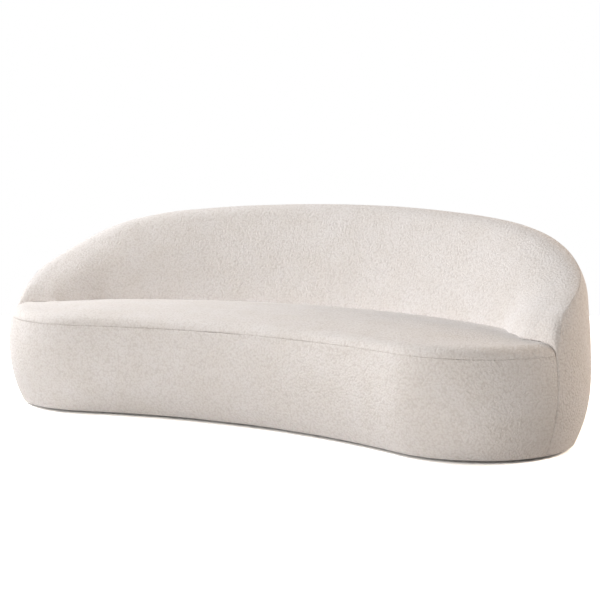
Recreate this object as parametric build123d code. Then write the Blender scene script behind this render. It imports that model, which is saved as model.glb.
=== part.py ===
from build123d import *
import math
import os

# Overall size over the covers, in millimetres
WIDTH = 2380.0
DEPTH = 1024.0
END_RADIUS = 402.0
FRONT_HOLLOW = 134.0

# Heights above the floor
FLOOR_GAP = 12.0
BULGE_HEIGHT = 225.0
SEAM_HEIGHT = 345.0
CREASE_HEIGHT = 389.0
NOSE_HEIGHT = 412.0
ARM_FRONT_HEIGHT = 490.0
ARM_HEIGHT = 550.0
ARM_BACK_HEIGHT = 672.0
CORNER_HEIGHT = 745.0
BACK_HEIGHT = 778.0

# Insets of the upholstered surface from the widest outline
BOTTOM_INSET = 49.0
SEAM_INSET = 10.0
WALL_LEAN = 20.0
RIDGE_INSET = 55.0
TOP_SEAM_INSET = 44.0
NOSE_WIDTH = 178.0
ARM_WIDTH = 272.0
CORNER_WIDTH = 288.0
BACK_WIDTH = 296.0

# Rounding of the arm and back pad, with the stations at which its heights and widths are set
TIP_ANGLE = -23.0
RIDGE_PLACES = (0, 0.23, 0.45, 0.9, 1.28, 2)
CREASE_PLACES = (0, 0.3, 1, 2)
SEAM_CLIMB = 0.15
SHOULDER_BEND = 0.3
BACK_SHOULDER_DROP = 150.0
INNER_SHOULDER = 62.0
INNER_SHOULDER_POWER = 1.8
BACK_BELLY = 12.0
TUCK = 40.0

# Crowned seat pad
SEAT_EDGE_WIDTH = 55.0
SEAT_EDGE_RISE = 39.0
SEAT_CROWN = 11.0
CROWN_FRONT = 110.0
PLATEAU_FRONT = 250.0
PLATEAU_SIDE = 560.0
PLATEAU_END_RADIUS = 27.0
EDGE_STEPS = (15, 30, 45, 60, 75, 88)
CROWN_STEPS = (0, 0.2, 0.4, 0.6, 0.8, 1)

# Sheet goods and soft layers
COVER = 3.0
HEM = 40.0
DUST_COVER = 1.0
DUST_COVER_INSET = 60.0
BOARD = 3.5
INNER_BOARD = 3.6
SOFT_GAP = 0.4
PAD_GAP = 1.2

# Timber frame
RING = 18.0
RING_WIDTH = 148.0
FRAME_INSET = 52.0
RAIL_HEIGHT = 60.0
RAIL_THICKNESS = 30.0
SPRING_DECK = 256.0
POST = 40.0
POST_WIDTH = 45.0
RIB = 18.0
RIB_FOOT = 80.0
RIB_TOP = 44.0
INNER_BOARD_FOOT = 270.0
TOP_RAIL = 20.0
TOP_RAIL_COVER = 40.0
BEARER_WIDTH = 45.0
BEARER_HEIGHT = 60.0
BEARER_PITCH = 480.0
BEARER_FRONT = 112.0
BEARER_BACK = 165.0
FRAME_GAP = 0.4
RIB_PLACES = (0.12, 0.5, 1.0, 1.5, 2.0)
END_POST_ANGLES = (-42.0, -88.0)
FRONT_POST_X = 270.0

# Springs, clips and ties
SPRING_COUNT = 11
SPRING_SPREAD = 1560.0
SPRING_WIRE = 3.8
SPRING_HALF_WIDTH = 27.0
SPRING_PITCH = 52.0
SPRING_BEND = 22.0
CLIP_LENGTH = 24.0
CLIP_WIDTH = 14.0
CLIP_BASE = 1.6
CLIP_WALL = 1.4
CLIP_GAP = 0.3
TIE_WIRE = 2.6
TIE_ROWS = (-150.0, 40.0)
FELT = 6.0
FELT_FRONT = 104.0
FELT_BACK = 190.0

# Screws, nuts and levelling feet
SCREW = 4.5
SCREW_HEAD = 9.0
SCREW_HEAD_HEIGHT = 3.5
SCREW_LENGTH = 50.0
SCREW_GAP = 0.2
RIB_SCREW_INSET = 92.0
BEARER_SCREW_EDGE = 18.0
FOOT_INSET = 126.0
FOOT_PLACES = (0.31, 1.25)
FRONT_FOOT_ANGLE = -65.0
FOOT_DIAMETER = 44.0
FOOT_HEIGHT = 8.0
FOOT_EDGE = 2.0
FOOT_HEX = 19.0
FOOT_STEM = 8.0
FOOT_STEM_LENGTH = 38.0
FOOT_GAP = 0.3
FOOT_HOLE = 26.0
NUT_BARREL = 11.0
NUT_FLANGE = 22.0
NUT_FLANGE_HEIGHT = 1.6
NUT_BORE_GAP = 0.4

# Plan of the outline: two end circles joined by a hollow front arc and a bowed back arc
END_X = WIDTH / 2 - END_RADIUS
END_Y = END_RADIUS - DEPTH / 2
BACK_Y = DEPTH / 2
FRONT_Y = FRONT_HOLLOW - DEPTH / 2
BACK_BOW = BACK_Y - END_Y - END_RADIUS
BACK_CENTRE = END_Y + (BACK_BOW**2 - END_X**2) / (2 * BACK_BOW)
BACK_RADIUS = BACK_Y - BACK_CENTRE
BACK_ANGLE = math.degrees(math.atan2(END_Y - BACK_CENTRE, END_X))
FRONT_CENTRE = END_Y + (FRONT_HOLLOW**2 - END_X**2) / (2 * FRONT_HOLLOW)
FRONT_RADIUS = FRONT_Y - FRONT_CENTRE
FRONT_ANGLE = math.degrees(math.atan2(FRONT_CENTRE - END_Y, -END_X))
PLATEAU_BACK = 2 * (END_RADIUS - PLATEAU_END_RADIUS) - PLATEAU_FRONT

# Heights that follow from the stack of layers
COVER_FOOT = FLOOR_GAP + COVER
RING_TOP = COVER_FOOT + RING
RAIL_FOOT = SPRING_DECK - RAIL_HEIGHT
SPRING_LOW = SPRING_DECK + CLIP_BASE + CLIP_GAP
SPRING_TOP = SPRING_LOW + SPRING_WIRE
FELT_LOW = SPRING_TOP + CLIP_GAP
SEAT_LOW = FELT_LOW + FELT
BOARD_INSET = FRAME_INSET - BOARD
PAD_INSET = BOARD_INSET - SOFT_GAP
RIB_INNER = FRAME_INSET + RIB_FOOT
RAIL_INNER = FRAME_INSET + RIB_TOP
LINING = COVER + SOFT_GAP
SEAT_REAR = RIB_INNER + INNER_BOARD + 2 * SOFT_GAP

# Stations along the arm and back, from the right arm tip (0) over the corner (1) to the middle (2)
HALF_STATIONS = (0, 0.06, 0.15, 0.3, 0.5, 0.75, 1.0, 1.25, 1.6, 2.0)
STATIONS = HALF_STATIONS + tuple(4 - u for u in reversed(HALF_STATIONS[:-1]))


def polar(centre_x, centre_y, radius, angle, z):
    """Point at a radius and an angle in degrees about an upright axis."""
    turn = math.radians(angle)
    return Vector(centre_x + radius * math.cos(turn), centre_y + radius * math.sin(turn), z)


def on_end(angle, inset, z):
    return polar(END_X, END_Y, END_RADIUS - inset, angle, z)


def on_front(angle, inset, z):
    return polar(0, FRONT_CENTRE, FRONT_RADIUS + inset, angle, z)


def on_back(angle, inset, z):
    return polar(0, BACK_CENTRE, BACK_RADIUS - inset, angle, z)


def on_path(u, inset, z):
    """Point of the arm and back at a station, an inset from the outline and a height."""
    if u > 2:
        point = on_path(4 - u, inset, z)
        return Vector(-point.X, point.Y, point.Z)
    if u <= 1:
        return on_end(TIP_ANGLE + (BACK_ANGLE - TIP_ANGLE) * u, inset, z)
    return on_back(BACK_ANGLE + (90 - BACK_ANGLE) * (u - 1), inset, z)


def along(u, places, values):
    """Smooth value at a station from values at a few places, level at the middle of the back."""
    u = min(u, 4 - u)
    slopes = [(values[1] - values[0]) / (places[1] - places[0])]
    for i in range(1, len(places) - 1):
        slopes.append((values[i + 1] - values[i - 1]) / (places[i + 1] - places[i - 1]))
    slopes.append(0)
    i = max(k for k in range(len(places) - 1) if places[k] <= u)
    span = places[i + 1] - places[i]
    t = (u - places[i]) / span
    start = values[i] * (1 + 2 * t) * (1 - t) ** 2 + slopes[i] * span * t * (1 - t) ** 2
    stop = values[i + 1] * t**2 * (3 - 2 * t) - slopes[i + 1] * span * t**2 * (1 - t)
    return start + stop


def ridge(u):
    heights = (NOSE_HEIGHT, ARM_FRONT_HEIGHT, ARM_HEIGHT, ARM_BACK_HEIGHT, CORNER_HEIGHT, BACK_HEIGHT)
    return along(u, RIDGE_PLACES, heights)


def crease(u):
    return along(u, CREASE_PLACES, (NOSE_WIDTH, ARM_WIDTH, CORNER_WIDTH, BACK_WIDTH))


def wall_arc(inset, height, layer):
    """Passing point and end of the wall's arc, which stands upright at the bulge."""
    rise = height - BULGE_HEIGHT
    radius = (rise**2 + inset**2) / (2 * inset)
    middle = radius - math.sqrt(radius**2 - rise**2 / 4)
    return [(middle + layer, BULGE_HEIGHT + rise / 2, "bend"), (inset + layer, height)]


def wall_inset(height):
    """Inset of the wall below its bulge."""
    drop = BULGE_HEIGHT - FLOOR_GAP
    radius = (drop**2 + BOTTOM_INSET**2) / (2 * BOTTOM_INSET)
    return radius - math.sqrt(radius**2 - (BULGE_HEIGHT - height) ** 2)


def lower_wall(foot, layer):
    """Lower wall from its foot up to the bulge."""
    middle = (foot + BULGE_HEIGHT) / 2
    bend = (wall_inset(middle) + layer, middle, "bend")
    return [(wall_inset(foot) + layer, foot), bend, (layer, BULGE_HEIGHT)]


class PadSection:
    """Outer curve of the arm or back in the upright plane across one station."""

    def __init__(self, u):
        self.top = ridge(u)
        self.crease = crease(u)
        share = (self.top - NOSE_HEIGHT) / (BACK_HEIGHT - NOSE_HEIGHT)
        nose_drop = NOSE_HEIGHT - SEAM_HEIGHT
        self.wall_top = self.top - nose_drop - (BACK_SHOULDER_DROP - nose_drop) * share
        self.wall_inset = SEAM_INSET + (WALL_LEAN - SEAM_INSET) * share
        climb = min(1, min(u, 4 - u) / SEAM_CLIMB)
        low = self.wall_inset + SOFT_GAP
        self.seam_inset = low + (TOP_SEAM_INSET - low) * climb**2 * (3 - 2 * climb)

    def shoulder(self, inset, layer):
        """Point on the outer shoulder, an upright quarter ellipse from wall to ridge."""
        across = RIDGE_INSET - self.wall_inset
        rise = self.top - self.wall_top
        share = min(1, max(0, (RIDGE_INSET - inset) / across))
        lift = math.sqrt(1 - share**2)
        normal = Vector(share / across, -lift / rise).normalized() * layer
        return (inset + normal.X, self.wall_top + rise * lift + normal.Y)

    def outer(self, layer):
        """Bulge to top seam along the outside."""
        middle = self.wall_inset + (self.seam_inset - self.wall_inset) * SHOULDER_BEND
        bend = self.shoulder(middle, layer) + ("bend",)
        wall = wall_arc(self.wall_inset, self.wall_top, layer)
        return wall + [bend, self.shoulder(self.seam_inset, layer)]

    def inner(self, layer):
        """Top seam over the ridge and down the inside to the crease."""
        start = self.seam_inset + PAD_GAP
        height = self.top - CREASE_HEIGHT
        drop = height * (INNER_SHOULDER / (self.crease - RIDGE_INSET)) ** INNER_SHOULDER_POWER
        radius = (INNER_SHOULDER**2 + drop**2) / (2 * drop)
        turn = math.asin(INNER_SHOULDER / radius)
        bends = []
        for angle in (turn / 2, turn):
            reach = radius - layer
            x = RIDGE_INSET + reach * math.sin(angle)
            bends.append((x, self.top - radius + reach * math.cos(angle)))
        slope = math.atan2(height - drop, self.crease - RIDGE_INSET - INNER_SHOULDER)
        foot_x = self.crease - layer / math.tan(slope / 2)
        foot_z = CREASE_HEIGHT + layer
        belly = BACK_BELLY * height / (BACK_HEIGHT - CREASE_HEIGHT)
        middle_x = (bends[1][0] + foot_x) / 2 + belly * math.sin(slope)
        middle_z = (bends[1][1] + foot_z) / 2 + belly * math.cos(slope)
        return [
            self.shoulder(start, layer),
            self.shoulder((start * 2 + RIDGE_INSET) / 3, layer) + ("bend",),
            (RIDGE_INSET, self.top - layer),
            bends[0] + ("bend",),
            bends[1],
            (middle_x, middle_z, "bend"),
            (foot_x, foot_z),
        ]


def closed_wire(path, place):
    """Closed loop of lines and arcs through section points set in space."""
    points = [place(p[0], p[1]) for p in path]
    points.append(points[0])
    edges = []
    i = 0
    while i < len(path):
        if i + 1 < len(path) and len(path[i + 1]) == 3:
            edges.append(ThreePointArc(points[i], points[i + 1], points[i + 2]))
            i += 2
        else:
            edges.append(Line(points[i], points[i + 1]))
            i += 1
    return Wire(edges)


def rectangle(inset, foot, far_inset, top):
    return [(inset, foot), (inset, top), (far_inset, top), (far_inset, foot)]


def front_band(path):
    """Constant section run round both ends and the hollow front, from arm tip to arm tip."""
    tangent = closed_wire(path, lambda d, z: on_end(FRONT_ANGLE, d, z))
    end = revolve(Face(tangent), Axis((END_X, END_Y, 0), (0, 0, 1)), TIP_ANGLE - FRONT_ANGLE)
    sweep_angle = 180 + FRONT_ANGLE
    start = closed_wire(path, lambda d, z: on_front(sweep_angle, d, z))
    middle = revolve(Face(start), Axis((0, FRONT_CENTRE, 0), (0, 0, 1)), 180 - 2 * sweep_angle)
    return middle + end + mirror(end, Plane.YZ)


def back_band(path):
    """Constant section run round both arms and the back, from arm tip to arm tip."""
    tip = closed_wire(path, lambda d, z: on_end(TIP_ANGLE, d, z))
    end = revolve(Face(tip), Axis((END_X, END_Y, 0), (0, 0, 1)), BACK_ANGLE - TIP_ANGLE)
    start = closed_wire(path, lambda d, z: on_back(BACK_ANGLE, d, z))
    middle = revolve(Face(start), Axis((0, BACK_CENTRE, 0), (0, 0, 1)), 180 - 2 * BACK_ANGLE)
    return middle + end + mirror(end, Plane.YZ)


def back_loft(section, stations):
    """Solid through sections that change along the arms and the back."""
    wires = [closed_wire(section(u), lambda d, z, u=u: on_path(u, d, z)) for u in stations]
    return Solid.make_loft(wires)


def kidney(front, back, side, z):
    """Plan loop at its own insets from the front, the back and the ends."""
    radius = END_RADIUS - (front + back) / 2
    x = WIDTH / 2 - side - radius
    y = END_Y + (front - back) / 2
    bow = BACK_Y - back - y - radius
    back_y = y + (bow**2 - x**2) / (2 * bow)
    hollow = FRONT_Y + front - y + radius
    front_y = y + (hollow**2 - x**2) / (2 * hollow)
    back_angle = math.degrees(math.atan2(y - back_y, x))
    front_angle = math.degrees(math.atan2(front_y - y, -x))
    low = polar(x, y, radius, front_angle, z)
    side_point = polar(x, y, radius, (front_angle + back_angle) / 2, z)
    high = polar(x, y, radius, back_angle, z)
    left = [Vector(-p.X, p.Y, p.Z) for p in (high, side_point, low)]
    right_end = ThreePointArc(low, side_point, high)
    back_arc = ThreePointArc(high, Vector(0, BACK_Y - back, z), left[0])
    left_end = ThreePointArc(*left)
    front_arc = ThreePointArc(left[2], Vector(0, FRONT_Y + front, z), low)
    return Wire([right_end, back_arc, left_end, front_arc])


def slab(inset, foot, height):
    return extrude(Face(kidney(inset, inset, inset, foot)), height, dir=(0, 0, 1))


def front_edge(x, inset):
    """Y of the front outline at an inset, above an X position."""
    touch = abs(on_end(FRONT_ANGLE, inset, 0).X)
    if abs(x) <= touch:
        return FRONT_CENTRE + math.sqrt((FRONT_RADIUS + inset) ** 2 - x**2)
    return END_Y - math.sqrt((END_RADIUS - inset) ** 2 - (abs(x) - END_X) ** 2)


def back_edge(x, inset):
    """Y of the back outline at an inset, above an X position."""
    touch = abs(on_back(BACK_ANGLE, inset, 0).X)
    if abs(x) <= touch:
        return BACK_CENTRE + math.sqrt((BACK_RADIUS - inset) ** 2 - x**2)
    return END_Y + math.sqrt((END_RADIUS - inset) ** 2 - (abs(x) - END_X) ** 2)


def upright(point, radius, foot, height):
    return Pos(point.X, point.Y, foot) * Cylinder(
        radius, height, align=(Align.CENTER, Align.CENTER, Align.MIN)
    )


def seat_dome(layer, foot):
    """Crowned seat form: rolled edge, then a swell that is highest in front of the back pad."""
    wires = [kidney(SEAM_INSET + layer, SEAM_INSET + layer, SEAM_INSET + layer, foot)]
    for angle in EDGE_STEPS:
        turn = math.radians(angle)
        inset = SEAM_INSET + layer + (SEAT_EDGE_WIDTH - layer) * (1 - math.cos(turn))
        height = SEAM_HEIGHT + (SEAT_EDGE_RISE - layer) * math.sin(turn)
        wires.append(kidney(inset, inset, inset, height))
    low = CREASE_HEIGHT - SOFT_GAP - layer
    edge = (CROWN_FRONT, BACK_WIDTH, ARM_WIDTH)
    plateau = (PLATEAU_FRONT, PLATEAU_BACK, PLATEAU_SIDE)
    for share in CROWN_STEPS:
        insets = [a + (b - a) * share for a, b in zip(edge, plateau)]
        wires.append(kidney(*insets, low + SEAT_CROWN * share * (2 - share)))
    return Solid.make_loft(wires, ruled=True)


def screw(point, gap):
    """Countersunk wood screw driven up from the underside of the base ring."""
    head = Pos(point.X, point.Y, COVER_FOOT) * Cone(
        SCREW_HEAD / 2 + gap,
        SCREW / 2 + gap,
        SCREW_HEAD_HEIGHT,
        align=(Align.CENTER, Align.CENTER, Align.MIN),
    )
    return head + upright(point, SCREW / 2 + gap, COVER_FOOT, SCREW_LENGTH + gap)


def mirrored(points):
    return points + [Vector(-p.X, p.Y, p.Z) for p in points if abs(p.X) > 1]


# Places of the uprights, the bearers, the feet and the springs
rib_stations = list(RIB_PLACES) + [4 - u for u in reversed(RIB_PLACES[:-1])]
post_bow = POST_WIDTH**2 / (8 * (END_RADIUS - FRAME_INSET))
post_inset = FRAME_INSET + FRAME_GAP + post_bow + POST / 2
right_posts = [(on_end(a, post_inset, 0), a) for a in END_POST_ANGLES]
front_post_angle = math.degrees(math.acos(FRONT_POST_X / (FRONT_RADIUS + post_inset)))
right_posts.append((on_front(front_post_angle, post_inset, 0), front_post_angle))
posts = right_posts + [(Vector(-p.X, p.Y, 0), 180 - a) for p, a in right_posts]
bearer_places = (-BEARER_PITCH, 0, BEARER_PITCH)
feet = mirrored(
    [on_path(u, FOOT_INSET, 0) for u in FOOT_PLACES] + [on_end(FRONT_FOOT_ANGLE, FOOT_INSET, 0)]
)
spring_places = [SPRING_SPREAD * (i / (SPRING_COUNT - 1) - 0.5) for i in range(SPRING_COUNT)]

screw_points = [on_path(u, RIB_SCREW_INSET, 0) for u in rib_stations]
screw_points += [p for p, angle in posts]
for x in bearer_places:
    screw_points.append(Vector(x, front_edge(x, BEARER_FRONT) + BEARER_SCREW_EDGE, 0))
    screw_points.append(Vector(x, back_edge(x, BEARER_BACK) - BEARER_SCREW_EDGE, 0))
screw_holes = [screw(p, SCREW_GAP) for p in screw_points]
bearer_holes = screw_holes[-2 * len(bearer_places):]

parts = {}

# Base ring of plywood, drilled for the screws and the threaded nuts of the feet
base_ring = slab(FRAME_INSET, COVER_FOOT, RING) - slab(FRAME_INSET + RING_WIDTH, COVER_FOOT, RING)
base_ring -= [upright(p, NUT_BARREL / 2 + SCREW_GAP, COVER_FOOT, RING) for p in feet]
parts["base_ring"] = base_ring - screw_holes

# Cross bearers over the ring
for i, x in enumerate(bearer_places):
    front_y = front_edge(x, BEARER_FRONT)
    length = back_edge(x, BEARER_BACK) - front_y
    bearer = Pos(x, front_y, RING_TOP) * Box(
        BEARER_WIDTH, length, BEARER_HEIGHT, align=(Align.CENTER, Align.MIN, Align.MIN)
    )
    parts[f"cross_bearer_{i + 1}"] = bearer - bearer_holes

# Front posts and the curved front seat rail on top of them
for i, (point, angle) in enumerate(posts):
    post = Pos(point.X, point.Y, RING_TOP) * Rot(0, 0, angle) * Box(
        POST, POST_WIDTH, RAIL_FOOT - RING_TOP, align=(Align.CENTER, Align.CENTER, Align.MIN)
    )
    parts[f"front_post_{i + 1}"] = post - screw_holes[len(rib_stations) + i]
rail_near = FRAME_INSET + FRAME_GAP
parts["front_seat_rail"] = front_band(
    rectangle(rail_near, RAIL_FOOT, rail_near + RAIL_THICKNESS, SPRING_DECK)
)
parts["front_board"] = front_band(rectangle(BOARD_INSET, RING_TOP + FRAME_GAP, FRAME_INSET, SPRING_DECK))

# Plywood ribs of the arms and back, cut to the height of the pad at each place
for i, u in enumerate(rib_stations):
    along_rib = RIB / END_RADIUS / math.radians(BACK_ANGLE - TIP_ANGLE)
    low_side = min(ridge(u - along_rib), ridge(u + along_rib))
    rib_top = low_side - TOP_RAIL_COVER - TOP_RAIL - FRAME_GAP
    rib_path = [
        (FRAME_INSET + 2 * FRAME_GAP, RING_TOP),
        (FRAME_INSET + 2 * FRAME_GAP, rib_top),
        (RAIL_INNER - 2 * FRAME_GAP, rib_top),
        (RIB_INNER - 2 * FRAME_GAP, INNER_BOARD_FOOT),
        (RIB_INNER - 2 * FRAME_GAP, RING_TOP),
    ]
    rib_face = Face(closed_wire(rib_path, lambda d, z, u=u: on_path(u, d, z)))
    parts[f"back_rib_{i + 1}"] = extrude(rib_face, RIB / 2, both=True) - screw_holes[i]

# Back seat rail, top rail and the bent boards of the arms and back
parts["back_seat_rail"] = back_band(
    rectangle(RIB_INNER, RAIL_FOOT, RIB_INNER + RAIL_THICKNESS, SPRING_DECK)
)


def top_rail_section(u):
    top = ridge(u) - TOP_RAIL_COVER
    return rectangle(FRAME_INSET + FRAME_GAP, top - TOP_RAIL, RAIL_INNER - PAD_GAP, top)


def outer_board_section(u):
    return rectangle(BOARD_INSET, RING_TOP + FRAME_GAP, FRAME_INSET, ridge(u) - TOP_RAIL_COVER)


def inner_board_section(u):
    top = ridge(u) - TOP_RAIL_COVER - TOP_RAIL - 2 * PAD_GAP
    return [
        (RIB_INNER, INNER_BOARD_FOOT),
        (RAIL_INNER, top),
        (RAIL_INNER + INNER_BOARD, top),
        (RIB_INNER + INNER_BOARD, INNER_BOARD_FOOT),
    ]


parts["top_rail"] = back_loft(top_rail_section, STATIONS)
parts["outer_board"] = back_loft(outer_board_section, STATIONS)
parts["inner_board"] = back_loft(inner_board_section, STATIONS)

# Zigzag seat springs between the rails, with their clips and tie wires
clips = []
clip_height = CLIP_BASE + SPRING_WIRE + 2 * CLIP_GAP + CLIP_WALL
for i, x in enumerate(spring_places):
    near = front_edge(x, rail_near + RAIL_THICKNESS / 2)
    far = back_edge(x, RIB_INNER + RAIL_THICKNESS / 2)
    turns = round((far - near) / SPRING_PITCH)
    pitch = (far - near) / turns
    height = SPRING_LOW + SPRING_WIRE / 2
    corners = []
    for k in range(turns + 1):
        side = SPRING_HALF_WIDTH if k % 2 else -SPRING_HALF_WIDTH
        corners.append(Vector(x + side, near + k * pitch, height))
        corners.append(Vector(x - side, near + k * pitch, height))
    line = FilletPolyline(*corners, radius=SPRING_BEND)
    wire_end = Plane(line @ 0, z_dir=line % 0) * Circle(SPRING_WIRE / 2)
    parts[f"seat_spring_{i + 1}"] = sweep(wire_end, path=line)
    far_side = SPRING_BEND / 2 if turns % 2 == 0 else -SPRING_BEND / 2
    for clip_x, y in ((x - SPRING_BEND / 2, near), (x + far_side, far)):
        seat = (Align.CENTER, Align.CENTER, Align.MIN)
        saddle = Pos(clip_x, y, SPRING_DECK) * Box(CLIP_LENGTH, CLIP_WIDTH, clip_height, align=seat)
        channel = Pos(clip_x, y, SPRING_DECK + CLIP_BASE) * Box(
            CLIP_LENGTH, SPRING_WIRE + 2 * CLIP_GAP, SPRING_WIRE + 2 * CLIP_GAP, align=seat
        )
        clips.append(saddle - channel)
parts["spring_clips"] = Compound(clips)
for i, y in enumerate(TIE_ROWS):
    drop = SPRING_LOW - CLIP_GAP - TIE_WIRE / 2
    tie = Pos(0, y, drop) * Rot(0, 90, 0) * Cylinder(TIE_WIRE / 2, SPRING_SPREAD + 2 * SPRING_HALF_WIDTH)
    parts[f"tie_wire_{i + 1}"] = tie

# Felt over the springs and the crowned seat foam, notched where the arms and back stand
parts["spring_felt"] = extrude(
    Face(kidney(FELT_FRONT, FELT_BACK, FELT_BACK, FELT_LOW)), FELT, dir=(0, 0, 1)
)
back_space = back_band(rectangle(-COVER, FLOOR_GAP, SEAT_REAR, BACK_HEIGHT))
seat_body = slab(BOARD_INSET + SOFT_GAP, SEAT_LOW, SEAM_HEIGHT - SEAT_LOW)
parts["seat_foam"] = seat_body + seat_dome(LINING + SOFT_GAP, SEAM_HEIGHT) - back_space
parts["seat_cover"] = seat_dome(0, SEAM_HEIGHT) - seat_dome(COVER, SEAM_HEIGHT - COVER) - back_space

# Front border: foam over the front board, then the border panel of the cover
foam_foot = RING_TOP + FRAME_GAP
foam_top = SEAM_HEIGHT - SOFT_GAP
parts["front_foam"] = front_band(
    lower_wall(foam_foot, LINING)
    + wall_arc(SEAM_INSET, foam_top, LINING)
    + [(PAD_INSET, foam_top), (PAD_INSET, foam_foot)]
)
hem_inset = wall_inset(FLOOR_GAP) + HEM


def hemmed(outside, inside):
    """Closed skin section from an outer and an inner curve, with a hem turned under the ring."""
    return outside + inside[::-1] + [(hem_inset, COVER_FOOT), (hem_inset, FLOOR_GAP)]


parts["front_cover"] = front_band(
    hemmed(
        lower_wall(FLOOR_GAP, 0) + wall_arc(SEAM_INSET, SEAM_HEIGHT, 0),
        lower_wall(COVER_FOOT, COVER) + wall_arc(SEAM_INSET, SEAM_HEIGHT, COVER),
    )
)


# Outside of the arms and back: wadding over the outer board, then the outside panel
def wadding_section(u):
    pad = PadSection(u)
    rail_line = pad.top - TOP_RAIL_COVER
    outside = lower_wall(foam_foot, LINING) + pad.outer(LINING)
    return outside + [(PAD_INSET, rail_line), (PAD_INSET, foam_foot)]


def outside_cover_section(u):
    pad = PadSection(u)
    outside = lower_wall(FLOOR_GAP, 0) + pad.outer(0)
    return hemmed(outside, lower_wall(COVER_FOOT, COVER) + pad.outer(COVER))


parts["outer_wadding"] = back_loft(wadding_section, STATIONS)
parts["outside_back_cover"] = back_loft(outside_cover_section, STATIONS)


# Inside of the arms and back: one thick foam pad over the inner board and the top rail
def pad_foam_section(u):
    pad = PadSection(u)
    rail_line = pad.top - TOP_RAIL_COVER + PAD_GAP
    lining = COVER + PAD_GAP
    return pad.inner(lining) + [
        (SEAT_REAR + PAD_GAP, CREASE_HEIGHT + lining),
        (RAIL_INNER + INNER_BOARD + PAD_GAP, rail_line),
        (PAD_INSET + PAD_GAP, rail_line),
    ]


def inside_cover_section(u):
    pad = PadSection(u)
    under = pad.crease - TUCK
    tuck = [(under, CREASE_HEIGHT), (under, CREASE_HEIGHT + COVER)]
    return pad.inner(0) + tuck + pad.inner(COVER)[::-1]


parts["inside_back_foam"] = back_loft(pad_foam_section, STATIONS)
parts["inside_back_cover"] = back_loft(inside_cover_section, STATIONS)

# Dust cover under the base, open round the feet
dust_cover = slab(DUST_COVER_INSET, FLOOR_GAP - DUST_COVER, DUST_COVER)
parts["dust_cover"] = dust_cover - [
    upright(p, FOOT_HOLE / 2, FLOOR_GAP - DUST_COVER, DUST_COVER) for p in feet
]

# Levelling feet on threaded stems, and the nuts that hold them in the ring
stem_foot = COVER_FOOT - FOOT_GAP
foot_nuts = []
for i, point in enumerate(feet):
    glide = fillet(upright(point, FOOT_DIAMETER / 2, 0, FOOT_HEIGHT).edges(), FOOT_EDGE)
    hexagon = Pos(point.X, point.Y, FOOT_HEIGHT) * RegularPolygon(FOOT_HEX / 2, 6)
    shank = upright(point, FOOT_STEM / 2, stem_foot, FOOT_STEM_LENGTH)
    parts[f"levelling_foot_{i + 1}"] = glide + extrude(hexagon, stem_foot - FOOT_HEIGHT) + shank
    barrel = upright(point, NUT_BARREL / 2, COVER_FOOT, RING)
    flange = upright(point, NUT_FLANGE / 2, RING_TOP, NUT_FLANGE_HEIGHT)
    bore = upright(point, FOOT_STEM / 2 + NUT_BORE_GAP, COVER_FOOT, RING + NUT_FLANGE_HEIGHT)
    foot_nuts.append(barrel + flange - bore)
parts["foot_nuts"] = Compound(foot_nuts)
parts["frame_screws"] = Compound([screw(p, 0) for p in screw_points])

os.makedirs("parts", exist_ok=True)
for name, shape in parts.items():
    export_step(shape, f"parts/{name}.step")
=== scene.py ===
import math
from collections import namedtuple

import bmesh
import bpy
import numpy as np
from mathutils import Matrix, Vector, noise


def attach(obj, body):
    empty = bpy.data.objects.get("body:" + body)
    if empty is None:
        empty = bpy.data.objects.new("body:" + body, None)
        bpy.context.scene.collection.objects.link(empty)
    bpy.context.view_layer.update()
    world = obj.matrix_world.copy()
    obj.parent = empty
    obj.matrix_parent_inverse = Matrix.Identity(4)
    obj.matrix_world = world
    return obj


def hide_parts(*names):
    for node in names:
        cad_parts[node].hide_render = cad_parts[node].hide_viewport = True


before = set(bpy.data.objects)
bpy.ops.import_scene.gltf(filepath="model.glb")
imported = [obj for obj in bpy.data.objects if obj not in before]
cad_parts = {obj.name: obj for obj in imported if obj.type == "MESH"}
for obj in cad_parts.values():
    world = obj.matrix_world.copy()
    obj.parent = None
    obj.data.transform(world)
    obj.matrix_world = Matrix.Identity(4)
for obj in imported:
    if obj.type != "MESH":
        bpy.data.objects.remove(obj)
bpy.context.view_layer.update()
bpy.context.scene.view_settings.view_transform = "Standard"


# Base ring, ribs and bent boards: birch plywood, cut on a router and screwed together.
# The ring is the foot of the whole frame, and the ribs and boards give the arms and back their sweep.
def linear(hex_colour):
    """Linear RGBA of an sRGB hex colour."""
    parts = [int(hex_colour[i:i + 2], 16) / 255 for i in (1, 3, 5)]
    return [p / 12.92 if p <= 0.04045 else ((p + 0.055) / 1.055) ** 2.4 for p in parts] + [1]


def add(tree, kind, values=None, links=None, stops=None):
    """Adds a shader node, sets its sockets or properties, links its inputs and colours its ramp."""
    made = tree.nodes.new(kind)
    for key, value in (values or {}).items():
        if isinstance(key, int) or key in made.inputs:
            made.inputs[key].default_value = value
        else:
            setattr(made, key, value)
    for key, source in (links or {}).items():
        tree.links.new(source, made.inputs[key])
    if stops:
        ramp = made.color_ramp.elements
        while len(ramp) < len(stops):
            ramp.new(0.5)
        for element, (place, colour) in zip(ramp, stops):
            element.position = place
            element.color = linear(colour)
    return made


def begin(name):
    """New material with its node tree, its principled shader and its object coordinates."""
    material = bpy.data.materials.new(name)
    material.use_nodes = True
    tree = material.node_tree
    coords = add(tree, "ShaderNodeTexCoord").outputs["Object"]
    return material, tree, tree.nodes["Principled BSDF"], coords


def coat(tree, shader, colour, roughness, relief=None):
    """Joins a material's colour, and its relief where it has one, to the shader."""
    tree.links.new(colour, shader.inputs["Base Color"])
    if relief:
        tree.links.new(relief.outputs["Normal"], shader.inputs["Normal"])
    shader.inputs["Roughness"].default_value = roughness


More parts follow.
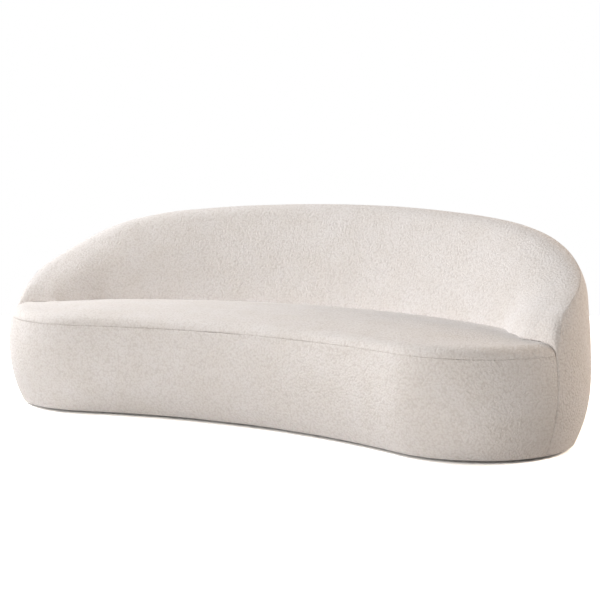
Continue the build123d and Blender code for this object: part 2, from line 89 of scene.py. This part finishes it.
def dress(material, *names):
    """Gives CAD nodes their finish."""
    for name in names:
        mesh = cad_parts[name].data
        mesh.materials.clear()
        mesh.materials.append(material)


# Birch plywood: rotary-cut face, so a pale, broad, wavy grain about 15 mm wide, lightly sanded.
# Pattern scales are repeats to the metre, here and below, so 66 makes 15 mm.
plywood, tree, shader, coords = begin("birch_plywood")
stretch = add(tree, "ShaderNodeMapping", {"Scale": (4, 66, 66)}, {"Vector": coords})
grain = add(tree, "ShaderNodeTexNoise", {"Scale": 1, "Detail": 5, "Distortion": 0.6},
            {"Vector": stretch.outputs["Vector"]})
tint = add(tree, "ShaderNodeValToRGB", links={"Fac": grain.outputs["Fac"]},
           stops=[(0.3, "#c9a578"), (0.55, "#dcbf95"), (0.75, "#e7d0aa")])
sanding = add(tree, "ShaderNodeBump", {"Strength": 0.3, "Distance": 0.0004},
              {"Height": grain.outputs["Fac"]})
coat(tree, shader, tint.outputs["Color"], 0.62, sanding)
dress(plywood, "base_ring", "front_board", "outer_board", "inner_board")
dress(plywood, *[f"back_rib_{i}" for i in range(1, 10)])


# Bearers, posts and rails: planed pine, glued and screwed to the ring and the ribs.
# The two seat rails carry the spring clips, and the top rail ties the ribs together.
# Planed pine: straight darker late-wood lines about 8 mm apart on a yellowish ground.
# A wave repeats 20 / (2 pi) times in each unit of its scale, so 40 makes 8 mm.
pine, tree, shader, coords = begin("planed_pine")
stretch = add(tree, "ShaderNodeMapping", {"Scale": (2, 1, 1)}, {"Vector": coords})
lines = add(tree, "ShaderNodeTexWave", {"Scale": 40, "Distortion": 5, "Detail": 3, "bands_direction": "Z"},
            {"Vector": stretch.outputs["Vector"]})
tint = add(tree, "ShaderNodeValToRGB", links={"Fac": lines.outputs["Fac"]},
           stops=[(0.2, "#e2c391"), (0.75, "#d3ab73"), (0.95, "#b98a55")])
planing = add(tree, "ShaderNodeBump", {"Strength": 0.25, "Distance": 0.0003},
              {"Height": lines.outputs["Fac"]})
coat(tree, shader, tint.outputs["Color"], 0.58, planing)
dress(pine, "front_seat_rail", "back_seat_rail", "top_rail")
dress(pine, *[f"cross_bearer_{i}" for i in range(1, 4)])
dress(pine, *[f"front_post_{i}" for i in range(1, 7)])


# Zigzag seat springs and their two tie wires: hard-drawn carbon steel wire, bent cold.
# They run from the front rail to the back rail, and clips hold their ends.
# Spring wire: dark oiled drawn steel with an uneven scale about 4 mm across.
spring_wire, tree, shader, coords = begin("oiled_spring_steel")
scale = add(tree, "ShaderNodeTexNoise", {"Scale": 260, "Detail": 3}, {"Vector": coords})
tint = add(tree, "ShaderNodeValToRGB", links={"Fac": scale.outputs["Fac"]},
           stops=[(0.3, "#4b4c50"), (0.7, "#77797d")])
coat(tree, shader, tint.outputs["Color"], 0.38)
shader.inputs["Metallic"].default_value = 1
dress(spring_wire, "tie_wire_1", "tie_wire_2")
dress(spring_wire, *[f"seat_spring_{i}" for i in range(1, 12)])


# Clips, screws and nuts: steel, pressed or turned, and plated against rust.
# The clips sit on the seat rails, the screws join the frame, and the nuts take the stems of the feet.
# Zinc plate: greyish and half bright, with a faint spangle of about 3 mm.
zinc, tree, shader, coords = begin("zinc_plated_steel")
spangle = add(tree, "ShaderNodeTexVoronoi", {"Scale": 330}, {"Vector": coords})
tint = add(tree, "ShaderNodeValToRGB", links={"Fac": spangle.outputs["Distance"]},
           stops=[(0.0, "#c9cac6"), (0.8, "#b3b5b3")])
coat(tree, shader, tint.outputs["Color"], 0.34)
shader.inputs["Metallic"].default_value = 1
dress(zinc, "spring_clips", "foot_nuts", "frame_screws")


# Felt sheet over the springs: needled recycled fibre, laid loose to keep the wire from the foam.
# It is cut to the seat's plan and stops short of the clips.
# Needled felt: grey mixed fibres that show as flecks of about 4 mm.
felt, tree, shader, coords = begin("needled_felt")
flecks = add(tree, "ShaderNodeTexNoise", {"Scale": 240, "Detail": 6, "Roughness": 0.7}, {"Vector": coords})
tint = add(tree, "ShaderNodeValToRGB", links={"Fac": flecks.outputs["Fac"]},
           stops=[(0.3, "#55524e"), (0.5, "#77736d"), (0.7, "#a39e95")])
nap = add(tree, "ShaderNodeBump", {"Strength": 0.6, "Distance": 0.001}, {"Height": flecks.outputs["Fac"]})
coat(tree, shader, tint.outputs["Color"], 0.95, nap)
dress(felt, "spring_felt")


# Seat: a crowned foam pad under one top panel of boucle, sewn to the front border along its edge.
# It runs under the arms and the back, and its edge is rolled over the front rail.
# The plan is two end circles, joined by a hollow arc in front and a bowed arc behind.
END_X = 0.788
END_Y = -0.110
END_RADIUS = 0.402
BACK_Y = 0.512
FRONT_Y = -0.378
TIP = math.radians(-23)
HOLLOW_POINTS = 53
LOBE_POINTS = 51
SIDE_POINTS = 41
BACK_POINTS = 63
REAR_INSET = 0.139
FRAME_LINE = 0.0481
SEAT_LOW = 0.2685
SEAM_HEIGHT = 0.345
EDGE_INSET = 0.010
EDGE_WIDTH = 0.055
EDGE_RISE = 0.039
LUMPS_TO_METRE = 5.5


def arcs_of(front, back, side):
    """Circles of the sofa's plan at its own insets from the front, the back and the ends."""
    radius = END_RADIUS - (front + back) / 2
    x = END_X + END_RADIUS - side - radius
    y = END_Y + (front - back) / 2
    bow = BACK_Y - back - y - radius
    back_y = y + (bow**2 - x**2) / (2 * bow)
    hollow = FRONT_Y + front - y + radius
    front_y = y + (hollow**2 - x**2) / (2 * hollow)
    return x, y, radius, back_y, front_y


def arc(x, y, radius, start, stop, count):
    """Points along part of a circle of the plan."""
    turn = np.linspace(start, stop, count)
    return np.column_stack([x + radius * np.cos(turn), y + radius * np.sin(turn)])


_, _, _, BACK_CENTRE, FRONT_CENTRE = arcs_of(0, 0, 0)
BACK_RADIUS = BACK_Y - BACK_CENTRE
FRONT_RADIUS = FRONT_Y - FRONT_CENTRE
BACK_ANGLE = math.atan2(END_Y - BACK_CENTRE, END_X)
FRONT_ANGLE = math.atan2(FRONT_CENTRE - END_Y, -END_X)


def seat_columns(front, back, side):
    """Right half of a plan loop: front middle to arm tip, then arm tip to back middle under the pad."""
    x, y, radius, back_y, front_y = arcs_of(front, back, side)
    front_angle = math.atan2(front_y - y, -x)
    back_angle = math.atan2(y - back_y, x)
    front_reach = FRONT_Y + front - front_y
    hollow = arc(0, front_y, front_reach, math.pi / 2, front_angle + math.pi, HOLLOW_POINTS)[:-1]
    lobe = arc(x, y, radius, front_angle, TIP, LOBE_POINTS)
    side_run = arc(x, y, radius, TIP, back_angle, SIDE_POINTS)[:-1]
    back_run = arc(0, back_y, BACK_Y - back - back_y, back_angle, math.pi / 2, BACK_POINTS)
    rear = np.vstack([side_run, back_run])
    from_end = rear - (END_X, END_Y)
    from_back = rear - (0, BACK_CENTRE)
    in_end = np.arctan2(from_end[:, 1], from_end[:, 0]) <= BACK_ANGLE
    for i in range(len(rear)):
        if in_end[i]:
            arm, centre, reach = from_end[i], (END_X, END_Y), END_RADIUS
        else:
            arm, centre, reach = from_back[i], (0, BACK_CENTRE), BACK_RADIUS
        length = np.hypot(*arm)
        if reach - length < REAR_INSET:
            rear[i] = centre + arm * (reach - REAR_INSET) / length
    return np.vstack([hollow, lobe, rear])


def both_sides(right):
    """Closed ring from its right half, mirrored about the middle."""
    left = right[-2:0:-1] * (-1, 1)
    return np.vstack([right, left])


def wrapped(name, rows, lumps):
    """Cover laid as a grid round a pad: each row is a closed ring, and open ends are sewn shut."""
    around, count = len(rows[0]), len(rows) - 1
    bm = bmesh.new()
    bmesh.ops.create_grid(bm, x_segments=around, y_segments=count, size=1)
    for v in bm.verts:
        column = round((v.co.x + 1) / 2 * around) % around
        row = round((v.co.y + 1) / 2 * count)
        v.co = Vector(rows[row][column])
    bmesh.ops.remove_doubles(bm, verts=bm.verts, dist=2e-5)
    bmesh.ops.holes_fill(bm, edges=[e for e in bm.edges if e.is_boundary], sides=0)
    bmesh.ops.recalc_face_normals(bm, faces=bm.faces)
    bm.normal_update()
    for v in bm.verts:
        v.co += v.normal * lumps * noise.noise(v.co * LUMPS_TO_METRE)
    for face in bm.faces:
        face.smooth = True
    mesh = bpy.data.meshes.new(name)
    bm.to_mesh(mesh)
    bm.free()
    piece = bpy.data.objects.new(name, mesh)
    bpy.context.scene.collection.objects.link(piece)
    smooth = piece.modifiers.new("smooth", "SUBSURF")
    smooth.levels = smooth.render_levels = 1
    smooth.use_limit_surface = False
    return piece


# Edge of the pad from its underside round the tucked seam and the roll, as inset and height
edge = [(FRAME_LINE, SEAT_LOW), (FRAME_LINE, SEAM_HEIGHT - 0.001)]
edge += [(0.0122, 0.3452), (0.0106, 0.3456), (0.0100, 0.3466)]
for degrees in (8, 18, 30, 42, 54, 66, 78, 88):
    turn = math.radians(degrees)
    inset = EDGE_INSET + EDGE_WIDTH * (1 - math.cos(turn))
    edge.append((inset, SEAM_HEIGHT + EDGE_RISE * math.sin(turn)))
loops = [(inset, inset, inset, height) for inset, height in edge]
# Top of the pad from the roll over the crease to the crown, as front, back and end insets and height
ROLLED = np.array((0.065, 0.065, 0.065, 0.3840))
CREASED = np.array((0.110, 0.296, 0.272, 0.3886))
PLATEAU = np.array((0.250, 0.500, 0.560, 0.3996))
for share in np.linspace(0, 1, 7)[1:]:
    loops.append(tuple(ROLLED + (CREASED - ROLLED) * share))
for share in np.linspace(0, 1, 9)[1:]:
    loop = CREASED + (PLATEAU - CREASED) * share
    loop[3] = CREASED[3] + (PLATEAU[3] - CREASED[3]) * share * (2 - share)
    loops.append(tuple(loop))
seat_rows = []
for front, back, side, height in loops:
    ring = both_sides(seat_columns(front, back, side))
    seat_rows.append(np.column_stack([ring, np.full(len(ring), height)]))
# The rings close on a bent line along the middle of the seat, above and below
MIDLINE_END = 0.60
MIDLINE_Y = -0.058
MIDLINE_BEND = 0.177
outer = seat_columns(EDGE_INSET, EDGE_INSET, EDGE_INSET)
to_tip = HOLLOW_POINTS - 1 + LOBE_POINTS
line_x = MIDLINE_END * outer[:to_tip, 0] / outer[to_tip - 1, 0]
line_y = MIDLINE_Y - MIDLINE_BEND * (line_x / MIDLINE_END) ** 2
line = np.column_stack([line_x, line_y])
ring = both_sides(np.vstack([line, line[::-1]]))
seat_rows.append(np.column_stack([ring, np.full(len(ring), PLATEAU[3] + 0.0002)]))
seat_rows.insert(0, np.column_stack([ring, np.full(len(ring), SEAT_LOW)]))
seat = wrapped("seat", seat_rows, 0.0012)

# Boucle: looped wool and cotton yarn, with no shine and a soft halo of fibre along the edges.
# Its loops are about 5 mm across, and are drawn at 7 to 8 mm so that they show from a few steps away.
boucle, tree, shader, coords = begin("ivory_boucle")
hairs = add(tree, "ShaderNodeTexNoise", {"Scale": 125, "Detail": 3}, {"Vector": coords})
curled = add(tree, "ShaderNodeMix", {"data_type": "VECTOR", 0: 0.006},
             {4: coords, 5: hairs.outputs["Color"]})
nubs = add(tree, "ShaderNodeTexVoronoi", {"Scale": 135}, {"Vector": curled.outputs[1]})
pile = add(tree, "ShaderNodeMath", {"operation": "MULTIPLY_ADD", 1: -0.75},
           {0: nubs.outputs["Distance"], 2: hairs.outputs["Fac"]})
# Painted shade: the yarn's colour is made a little darker towards the edge of each loop, standing in for
# shade in the hollows between loops.
tint = add(tree, "ShaderNodeValToRGB", links={"Fac": nubs.outputs["Distance"]},
           stops=[(0.10, "#f4f1f0"), (0.45, "#f1edec"), (0.80, "#e6e1df")])
# The yarn's colour drifts a little over patches of about 110 mm
patches = add(tree, "ShaderNodeTexNoise", {"Scale": 9, "Detail": 2}, {"Vector": coords})
shift = add(tree, "ShaderNodeValToRGB", links={"Fac": patches.outputs["Fac"]},
            stops=[(0.3, "#fbfaf8"), (0.7, "#ffffff")])
mixed = add(tree, "ShaderNodeMix", {"data_type": "RGBA", "blend_type": "MULTIPLY", 0: 1.0},
            {6: tint.outputs["Color"], 7: shift.outputs["Color"]})
relief = add(tree, "ShaderNodeBump", {"Strength": 1.0, "Distance": 0.0025},
             {"Height": pile.outputs["Value"]})
coat(tree, shader, mixed.outputs[2], 0.96, relief)
shader.inputs["Specular IOR Level"].default_value = 0.15
shader.inputs["Sheen Weight"].default_value = 0.12
shader.inputs["Sheen Roughness"].default_value = 0.6
shader.inputs["Sheen Tint"].default_value = linear("#f6f1ec")
seat.data.materials.append(boucle)
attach(seat, "sofa")
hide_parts("seat_cover", "seat_foam")


# Front border: a foam-backed boucle band that wraps the hollow front from one arm tip to the other.
# It bulges at mid-height, is sewn to the seat above, and is turned under the ring and stapled.
FLOOR_GAP = 0.012
BULGE_HEIGHT = 0.225
BOTTOM_INSET = 0.049
HEM_INSET = 0.089
HEM_TOP = 0.0150
HEM = [(FRAME_LINE, HEM_TOP), (HEM_INSET, HEM_TOP), (HEM_INSET, FLOOR_GAP)]
SEAM_ROUND = 0.005
BORDER_STEPS = (4, 9, 3, 1, 3)


def wall(foot_z, top_inset, top_z):
    """Bulging wall from the bottom edge to its top, as inset and height."""
    drop = BULGE_HEIGHT - foot_z
    low_radius = (drop**2 + BOTTOM_INSET**2) / (2 * BOTTOM_INSET)
    z_low = np.linspace(foot_z, BULGE_HEIGHT, 120)
    low = low_radius - np.sqrt(low_radius**2 - (BULGE_HEIGHT - z_low) ** 2)
    rise = top_z - BULGE_HEIGHT
    high_radius = (rise**2 + top_inset**2) / (2 * top_inset)
    z_high = np.linspace(BULGE_HEIGHT, top_z, 120)[1:]
    high = high_radius - np.sqrt(high_radius**2 - (z_high - BULGE_HEIGHT) ** 2)
    return np.column_stack([np.concatenate([low, high]), np.concatenate([z_low, z_high])])


def lengths(curve):
    """Length along a section curve at each of its points."""
    return np.concatenate([[0], np.cumsum(np.hypot(*np.diff(curve, axis=0).T))])


def spaced(curve, count):
    """Points along a curve, set close at both ends so that the sewn edges stay tight."""
    steps = lengths(curve)
    length = steps[-1]
    near = np.array([0, 0.003, 0.007, 0.013])
    places = np.concatenate([near, np.linspace(0.022, length - 0.022, count), length - near[::-1]])
    return np.column_stack([np.interp(places, steps, curve[:, k]) for k in (0, 1)])


def turned(visible, hidden, counts):
    """Closed section: the visible curve, then the hidden corners with points between them."""
    corners = [visible[-1]] + [np.array(h) for h in hidden] + [visible[0]]
    back = [visible]
    for start, stop, count in zip(corners, corners[1:], counts):
        shares = np.linspace(0, 1, count + 1)[1:]
        back.append(start + (stop - start) * shares[:, None])
    return np.vstack(back)[:-1]


def rounded_end(distance):
    """How far the cover turns in beside an upright seam."""
    left = max(0.0, SEAM_ROUND - distance)
    return SEAM_ROUND - math.sqrt(SEAM_ROUND**2 - left**2)


def mirrored_rows(rows):
    """Rows from the right end to the middle, and on to the left end."""
    return rows + [row * (-1, 1, 1) for row in rows[-2::-1]]


border_face = spaced(wall(FLOOR_GAP, EDGE_INSET, SEAM_HEIGHT), 24)
border_hidden = [(FRAME_LINE, SEAM_HEIGHT - 0.0006)] + HEM
end_length = END_RADIUS * (TIP - FRONT_ANGLE)
front_places = [0, 0.001, 0.003, 0.006, 0.012] + list(np.linspace(0.024, end_length, 44))
border_rows = []
for place in front_places:
    face = border_face + (rounded_end(place), 0)
    section = turned(face, border_hidden, BORDER_STEPS)
    turn = TIP - place / END_RADIUS
    reach = END_RADIUS - section[:, 0]
    border_rows.append(np.column_stack(
        [END_X + reach * math.cos(turn), END_Y + reach * math.sin(turn), section[:, 1]]))
section = turned(border_face, border_hidden, BORDER_STEPS)
for turn in np.linspace(FRONT_ANGLE + math.pi, math.pi / 2, 49)[1:]:
    reach = FRONT_RADIUS + section[:, 0]
    border_rows.append(np.column_stack(
        [reach * math.cos(turn), FRONT_CENTRE + reach * math.sin(turn), section[:, 1]]))
border = wrapped("front_border", mirrored_rows(border_rows), 0.0012)
border.data.materials.append(boucle)
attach(border, "sofa")
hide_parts("front_cover", "front_foam")


# Outside of the arms and back: one boucle panel over wadding, from tip to tip round the back.
# It meets the front border in an upright seam at each arm tip, and the inside pad in a seam on top.
TIP_TOP = 0.426
BACK_TOP = 0.778
TIP_CREASE = 0.178
RIDGE_INSET = 0.055
TIP_SHOULDER = 0.067
SHOULDER_GAIN = 0.083
WALL_INSET = 0.010
WALL_LEAN = 0.010
TOP_SEAM_INSET = 0.044
TOP_SEAM_CLIMB = 0.15
NOSE_REACH = 0.08
NOSE_GAP = 0.0005
BEND_REACH = 0.4
BEND_PASSES = 60
ARM_LINE_INSET = 0.1
LOWEST_RAIL = 0.30
OUTSIDE_RAIL_DROP = 0.042
OUTSIDE_EASE = 0.014
Pad = namedtuple("Pad", "top crease wall_top wall_inset seam")


def along(u, places, values):
    """Smooth value at a station of the arm and back: 0 is the arm tip, 1 the corner, 2 the middle."""
    slopes = [(values[1] - values[0]) / (places[1] - places[0])]
    for i in range(1, len(places) - 1):
        slopes.append((values[i + 1] - values[i - 1]) / (places[i + 1] - places[i - 1]))
    slopes.append(0)
    i = max(k for k in range(len(places) - 1) if places[k] <= u)
    span = places[i + 1] - places[i]
    t = (u - places[i]) / span
    start = values[i] * (1 + 2 * t) * (1 - t) ** 2 + slopes[i] * span * t * (1 - t) ** 2
    return start + values[i + 1] * t**2 * (3 - 2 * t) - slopes[i + 1] * span * t**2 * (1 - t)


def pad_at(u):
    """Ridge height, crease inset, top and inset of the outer wall, and inset of the top seam."""
    top = along(u, (0, 0.23, 0.45, 0.9, 1.28, 2), (TIP_TOP, 0.504, 0.557, 0.672, 0.745, BACK_TOP))
    crease = along(u, (0, 0.3, 1, 2), (TIP_CREASE, 0.272, 0.288, 0.296))
    share = (top - TIP_TOP) / (BACK_TOP - TIP_TOP)
    wall_top = top - TIP_SHOULDER - SHOULDER_GAIN * share
    wall_inset = WALL_INSET + WALL_LEAN * share
    climb = min(1, u / TOP_SEAM_CLIMB)
    lowest = wall_inset + 0.0004
    seam = lowest + (TOP_SEAM_INSET - lowest) * climb**2 * (3 - 2 * climb)
    return Pad(top, crease, wall_top, wall_inset, seam)


def seat_height(inset):
    """Height of the seat's rolled edge, which the arm noses rest on."""
    roll = np.clip((inset - EDGE_INSET) / EDGE_WIDTH, 0, 1)
    flat = np.clip((inset - ROLLED[0]) / (TIP_CREASE - ROLLED[0]), 0, 1)
    edge_top = SEAM_HEIGHT + EDGE_RISE * np.sqrt(1 - (1 - roll) ** 2)
    return edge_top + (CREASED[3] - ROLLED[3]) * flat + NOSE_GAP


def nosed(section, u):
    """Brings what stands above the seat down to it in a blunt round nose at the arm tip."""
    left = max(0.0, 1 - u / NOSE_REACH)
    keep = math.sqrt(1 - left**2)
    base = seat_height(section[:, 0])
    height = np.where(section[:, 1] > base, base + (section[:, 1] - base) * keep, section[:, 1])
    return np.column_stack([section[:, 0], height])


def on_path(u, section):
    """Section points set upright across the arm or back at a station."""
    if u <= 1:
        turn = TIP + (BACK_ANGLE - TIP) * u
        reach, x, y = END_RADIUS - section[:, 0], END_X, END_Y
    else:
        turn = BACK_ANGLE + (math.pi / 2 - BACK_ANGLE) * (u - 1)
        reach, x, y = BACK_RADIUS - section[:, 0], 0, BACK_CENTRE
    return np.column_stack([x + reach * math.cos(turn), y + reach * math.sin(turn), section[:, 1]])


def eased(curve, blur):
    """Section curve with its slight corners eased and its ends kept."""
    steps = lengths(curve)
    even = np.linspace(0, steps[-1], 600)
    line = np.column_stack([np.interp(even, steps, curve[:, k]) for k in (0, 1)])
    reach = int(3 * blur / (even[1] - even[0]))
    kernel = np.exp(-0.5 * (np.arange(-reach, reach + 1) * (even[1] - even[0]) / blur) ** 2)
    kernel /= kernel.sum()
    head = 2 * line[0] - line[reach:0:-1]
    tail = 2 * line[-1] - line[-2:-reach - 2:-1]
    full = np.vstack([head, line, tail])
    return np.column_stack([np.convolve(full[:, k], kernel, "valid") for k in (0, 1)])


def shoulder(pad, from_turn, to_turn, count):
    """Outer shoulder, an upright quarter ellipse from the wall to the ridge."""
    turn = np.linspace(from_turn, to_turn, count)
    return np.column_stack([RIDGE_INSET - (RIDGE_INSET - pad.wall_inset) * np.cos(turn),
                            pad.wall_top + (pad.top - pad.wall_top) * np.sin(turn)])


def seam_turn(pad):
    """Turn of the shoulder at which the top seam lies."""
    return math.acos((RIDGE_INSET - pad.seam) / (RIDGE_INSET - pad.wall_inset))


def settled(rows, stations):
    """Rows of a pad with the bend between arm and back eased, where two arcs of the plan meet."""
    rows = np.array(rows)
    pull = np.clip(1 - np.abs(np.array(stations) - 1) / BEND_REACH, 0, 1)[1:-1, None, None]
    for _ in range(BEND_PASSES):
        before = np.linalg.norm(rows[1:-1] - rows[:-2], axis=2, keepdims=True)
        after = np.linalg.norm(rows[2:] - rows[1:-1], axis=2, keepdims=True)
        between = (rows[:-2] * after + rows[2:] * before) / (before + after)
        rows[1:-1] += 0.5 * pull * (between - rows[1:-1])
    return list(rows)


arm_length = (END_RADIUS - ARM_LINE_INSET) * (BACK_ANGLE - TIP)
nose_turns = np.radians((3, 12, 22, 33, 45, 57, 69, 80, 90))
nose_stations = [NOSE_REACH * (1 - math.cos(turn)) for turn in nose_turns]
run_stations = list(np.linspace(NOSE_REACH, 1, 30)[1:]) + list(np.linspace(1, 2, 75)[1:])
outside_stations = [0] + nose_stations + run_stations
outside_rows = []
for u in outside_stations:
    pad = pad_at(u)
    side_wall = wall(FLOOR_GAP, pad.wall_inset, pad.wall_top)
    outline = np.vstack([side_wall, shoulder(pad, 0, max(0.02, seam_turn(pad)), 60)[1:]])
    face = spaced(eased(outline, OUTSIDE_EASE), 44)
    face = nosed(face, u) + (rounded_end(u * arm_length), 0)
    rail_line = max(LOWEST_RAIL, pad.top - OUTSIDE_RAIL_DROP)
    hidden = [(FRAME_LINE, min(rail_line, face[-1][1] - 0.004))] + HEM
    outside_rows.append(on_path(u, turned(face, hidden, (3, 12, 3, 1, 3))))
outside = wrapped("outside_back", mirrored_rows(settled(outside_rows, outside_stations)), 0.0015)
outside.data.materials.append(boucle)
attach(outside, "sofa")
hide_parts("outside_back_cover", "outer_wadding")


# Inside of the arms and back: one thick foam pad in boucle, rolled over the top of the frame.
# It slopes down to the seat, where its edge is tucked in, and ends in a blunt nose on each arm.
CREASE_HEIGHT = 0.3860
BACK_RISE = 0.389
BACK_BELLY = 0.012
ARM_BELLY = 0.016
ROLL_WIDTH = 0.062
ROLL_POWER = 1.8
SEAM_LAP = 0.012
INSIDE_EASE = 0.012
INSIDE_RAIL_DROP = 0.038
BOARD_FOOT_INSET = 0.138
BOARD_HEAD_INSET = 0.101
RAIL_FACE_INSET = 0.0493
inside_stations = nose_stations + run_stations
inside_rows = []
for u in inside_stations:
    pad = pad_at(u)
    rise = pad.top - CREASE_HEIGHT
    depth = pad.crease - RIDGE_INSET
    drop = rise * (ROLL_WIDTH / depth) ** ROLL_POWER
    radius = (ROLL_WIDTH**2 + drop**2) / (2 * drop)
    turn = np.linspace(0, math.asin(ROLL_WIDTH / radius), 60)[1:]
    roll = np.column_stack([RIDGE_INSET + radius * np.sin(turn), pad.top - radius + radius * np.cos(turn)])
    foot = np.array((pad.crease, CREASE_HEIGHT))
    slope = math.atan2(rise - drop, depth - ROLL_WIDTH)
    share = np.linspace(0, 1, 120)[1:, None]
    arm_share = along(u, (0, 0.35, 0.75, 1.3, 2), (0.5, 1, 0.8, 0, 0))
    swell = BACK_BELLY * rise / BACK_RISE + ARM_BELLY * arm_share
    belly = swell * np.array((math.sin(slope), math.cos(slope)))
    inner = roll[-1] + (foot - roll[-1]) * share + 4 * share * (1 - share) * belly
    outline = np.vstack([shoulder(pad, seam_turn(pad) - SEAM_LAP, math.pi / 2, 60), roll, inner])
    face = spaced(eased(outline, INSIDE_EASE), 40)
    rail_line = pad.top - INSIDE_RAIL_DROP
    hidden = [(BOARD_FOOT_INSET, CREASE_HEIGHT + 0.0005), (BOARD_HEAD_INSET, rail_line),
              (RAIL_FACE_INSET, rail_line)]
    inside_rows.append(on_path(u, nosed(turned(face, hidden, (8, 8, 4, 3)), u)))
inside = wrapped("inside_back", mirrored_rows(settled(inside_rows, inside_stations)), 0.0015)
inside.data.materials.append(boucle)
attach(inside, "sofa")
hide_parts("inside_back_cover", "inside_back_foam")


# Dust cover: black spun-bonded cloth stapled under the base, open round the feet.
# It closes the underside and laps over the hems of the covers.
# Spun-bonded cloth: matt, with a bonded dimple about every 2.5 mm.
dust_cloth, tree, shader, coords = begin("spun_bonded_cloth")
dimples = add(tree, "ShaderNodeTexVoronoi", {"Scale": 400, "Randomness": 0.15}, {"Vector": coords})
tint = add(tree, "ShaderNodeValToRGB", links={"Fac": dimples.outputs["Distance"]},
           stops=[(0.1, "#141414"), (0.6, "#2b2b2a")])
press = add(tree, "ShaderNodeBump", {"Strength": 0.5, "Distance": 0.0004},
            {"Height": dimples.outputs["Distance"]})
coat(tree, shader, tint.outputs["Color"], 0.9, press)
dress(dust_cloth, "dust_cover")


# Levelling feet: six glides moulded in black nylon on threaded stems, turned from below.
# Each screws into a nut in the base ring and comes down by up to 12 mm.
# Moulded nylon: satin black with a fine spark-eroded grain of about 1 mm.
nylon, tree, shader, coords = begin("moulded_nylon")
eroded = add(tree, "ShaderNodeTexNoise", {"Scale": 1000, "Detail": 2}, {"Vector": coords})
tint = add(tree, "ShaderNodeValToRGB", links={"Fac": eroded.outputs["Fac"]},
           stops=[(0.3, "#161616"), (0.7, "#242423")])
pitted = add(tree, "ShaderNodeBump", {"Strength": 0.3, "Distance": 0.0002},
             {"Height": eroded.outputs["Fac"]})
coat(tree, shader, tint.outputs["Color"], 0.45, pitted)
dress(nylon, *[f"levelling_foot_{i}" for i in range(1, 7)])


# Studio: a round white floor in white surroundings. A large soft lamp stands high on the left and two
# stand in front, with a warm one behind on the right and a little light from all round.
FLOOR_RADIUS = 3.4


def white_rays(tree):
    """1 for the rays that see the background plain white: camera, glossy and transmission rays."""
    rays = add(tree, "ShaderNodeLightPath").outputs
    seen = add(tree, "ShaderNodeMath", {"operation": "MAXIMUM"},
               {0: rays["Is Camera Ray"], 1: rays["Is Glossy Ray"]})
    seen = add(tree, "ShaderNodeMath", {"operation": "MAXIMUM"},
               {0: seen.outputs["Value"], 1: rays["Is Transmission Ray"]})
    return seen.outputs["Value"]


bm = bmesh.new()
bmesh.ops.create_circle(bm, cap_ends=True, segments=96, radius=FLOOR_RADIUS)
floor_mesh = bpy.data.meshes.new("studio_floor")
bm.to_mesh(floor_mesh)
bm.free()
floor = bpy.data.objects.new("studio_floor", floor_mesh)
bpy.context.scene.collection.objects.link(floor)
# White paper: matt, and shown lighter than it lights the sofa, so that only the shadow is seen on it
paper, tree, _, _ = begin("white_paper")
white = add(tree, "ShaderNodeMix", {"data_type": "RGBA", 6: (0.7, 0.7, 0.7, 1), 7: (3.0, 3.0, 3.0, 1)},
            {0: white_rays(tree)})
matt = add(tree, "ShaderNodeBsdfDiffuse", links={"Color": white.outputs[2]})
tree.links.new(matt.outputs["BSDF"], tree.nodes["Material Output"].inputs["Surface"])
floor_mesh.materials.append(paper)

world = bpy.data.worlds.new("studio_air")
bpy.context.scene.world = world
world.use_nodes = True
tree = world.node_tree
level = add(tree, "ShaderNodeMapRange", {"To Min": 0.06, "To Max": 1.0}, {"Value": white_rays(tree)})
tree.links.new(level.outputs["Result"], tree.nodes["Background"].inputs["Strength"])
tree.nodes["Background"].inputs["Color"].default_value = (1, 1, 1, 1)

for name, place, aim, size, power, colour in (
    ("high_left", (-4.4, -0.4, 3.6), (0, 0, 0.35), 2.4, 270, "#ffffff"),
    ("front_left", (-2.0, -5.4, 1.4), (0, 0, 0.3), 2.4, 18, "#ffffff"),
    ("front", (0.2, -5.5, 2.0), (0, 0, 0.35), 3.0, 139, "#fff8f0"),
    ("right_rear", (3.6, 2.4, 2.2), (0.8, 0, 0.3), 2.2, 117, "#ffeedd"),
):
    lamp = bpy.data.lights.new(name, "AREA")
    lamp.size = size
    lamp.energy = power
    lamp.color = linear(colour)[:3]
    light = bpy.data.objects.new(name, lamp)
    light.location = place
    light.rotation_euler = (Vector(aim) - Vector(place)).to_track_quat("-Z", "Y").to_euler()
    bpy.context.scene.collection.objects.link(light)

# Camera at the front right, slightly above the back
camera = bpy.data.objects.new("camera", bpy.data.cameras.new("camera"))
camera.data.sensor_width = 36
camera.data.lens = 81.06
azimuth = math.radians(31.23)
pitch = math.radians(6.52)
ahead = Vector((-math.sin(azimuth) * math.cos(pitch), math.cos(azimuth) * math.cos(pitch), -math.sin(pitch)))
camera.location = (2.656, -4.324, 1.012)
camera.rotation_euler = ahead.to_track_quat("-Z", "Y").to_euler()
bpy.context.scene.collection.objects.link(camera)
bpy.context.scene.camera = camera
